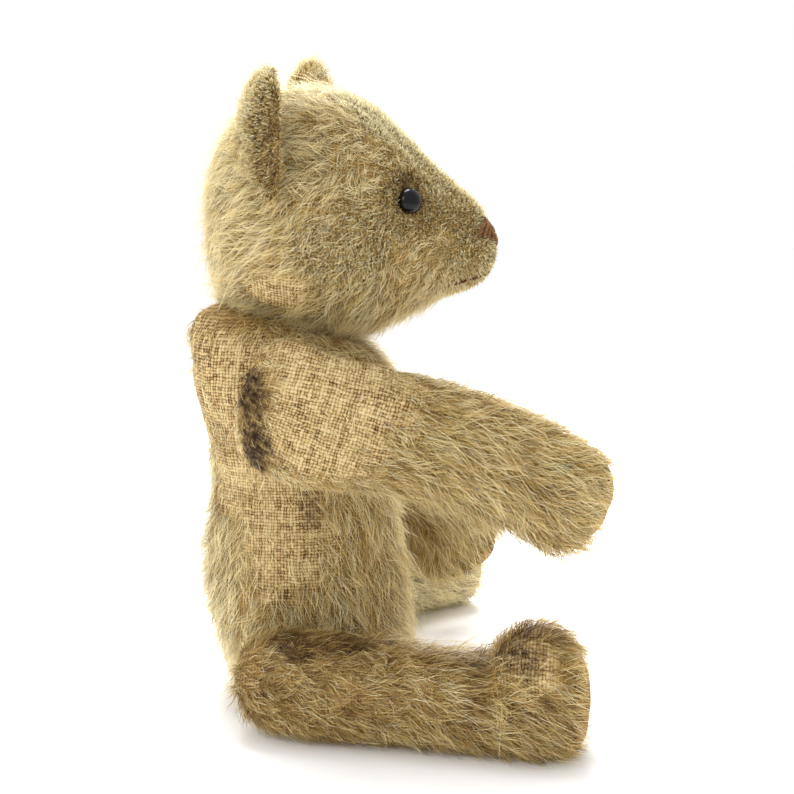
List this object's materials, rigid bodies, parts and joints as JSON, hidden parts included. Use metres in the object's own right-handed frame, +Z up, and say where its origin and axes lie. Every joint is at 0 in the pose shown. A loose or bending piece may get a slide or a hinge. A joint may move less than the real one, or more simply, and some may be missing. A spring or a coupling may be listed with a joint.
{
  "type": "jointed teddy bear",
  "caption": "Sitting bear of worn mohair over wood wool, with a head, arms and legs that turn on card-disc joints.",
  "frame": {"origin": "middle of the flat seat, on the surface it sits on, in the bear's plane of symmetry", "axes": "+Z up, -Y the way the bear faces, -X its right side"},
  "size_m": [0.0927, 0.0688, 0.1104],
  "materials": {
    "mohair": "matte pile, worn to the weave",
    "felt": "matte, rubbed",
    "wood_wool": "matte",
    "card": "matte",
    "steel": "dull",
    "boot_button": "gloss",
    "thread": "matte, frayed"
  },
  "bodies": {
    "torso": {"body_cover": "mohair", "body_filling": "wood_wool", "neck_body_disc": "card", "neck_body_washer": "steel", "neck_pin": "steel", "right_shoulder_body_disc": "card", "right_shoulder_body_washer": "steel", "right_shoulder_pin": "steel", "left_shoulder_body_disc": "card", "left_shoulder_body_washer": "steel", "left_shoulder_pin": "steel", "right_hip_body_disc": "card", "right_hip_body_washer": "steel", "right_hip_pin": "steel", "left_hip_body_disc": "card", "left_hip_body_washer": "steel", "left_hip_pin": "steel"},
    "head": {"head_cover": "mohair", "head_filling": "wood_wool", "right_ear": "mohair", "left_ear": "mohair", "right_eye": "boot_button", "left_eye": "boot_button", "nose_stitches": "thread", "mouth_stitches": "thread", "neck_knot": "thread", "neck_disc": "card", "neck_washer": "steel"},
    "right_arm": {"right_arm_cover": "mohair", "right_arm_filling": "wood_wool", "right_paw_pad": "felt", "right_shoulder_disc": "card", "right_shoulder_washer": "steel"},
    "right_leg": {"right_leg_cover": "mohair", "right_leg_filling": "wood_wool", "right_foot_pad": "felt", "right_hip_disc": "card", "right_hip_washer": "steel"},
    "left_arm": {"left_arm_cover": "mohair", "left_arm_filling": "wood_wool", "left_paw_pad": "felt", "left_shoulder_disc": "card", "left_shoulder_washer": "steel"},
    "left_leg": {"left_leg_cover": "mohair", "left_leg_filling": "wood_wool", "left_foot_pad": "felt", "left_hip_disc": "card", "left_hip_washer": "steel"}
  },
  "joints": [
    {"name": "neck_turn", "type": "hinge", "parent": "torso", "child": "head", "pos_m": [0, 0.0045, 0.0652], "axis": [0, -0.2278, 0.9737], "continuous": true},
    {"name": "right_shoulder", "type": "hinge", "parent": "torso", "child": "right_arm", "pos_m": [-0.0154, 0.001, 0.052], "axis": [-1, 0, 0], "range_deg": [-17, 55]},
    {"name": "left_shoulder", "type": "hinge", "parent": "torso", "child": "left_arm", "pos_m": [0.0154, 0.001, 0.052], "axis": [1, 0, 0], "range_deg": [-72, 12]},
    {"name": "right_hip", "type": "hinge", "parent": "torso", "child": "right_leg", "pos_m": [-0.0156, 0, 0.0082], "axis": [-0.9744, 0.225, 0], "range_deg": [-95, 24]},
    {"name": "left_hip", "type": "hinge", "parent": "torso", "child": "left_leg", "pos_m": [0.0156, 0, 0.0082], "axis": [0.8572, 0.515, 0], "range_deg": [-28, 95]}
  ]
}
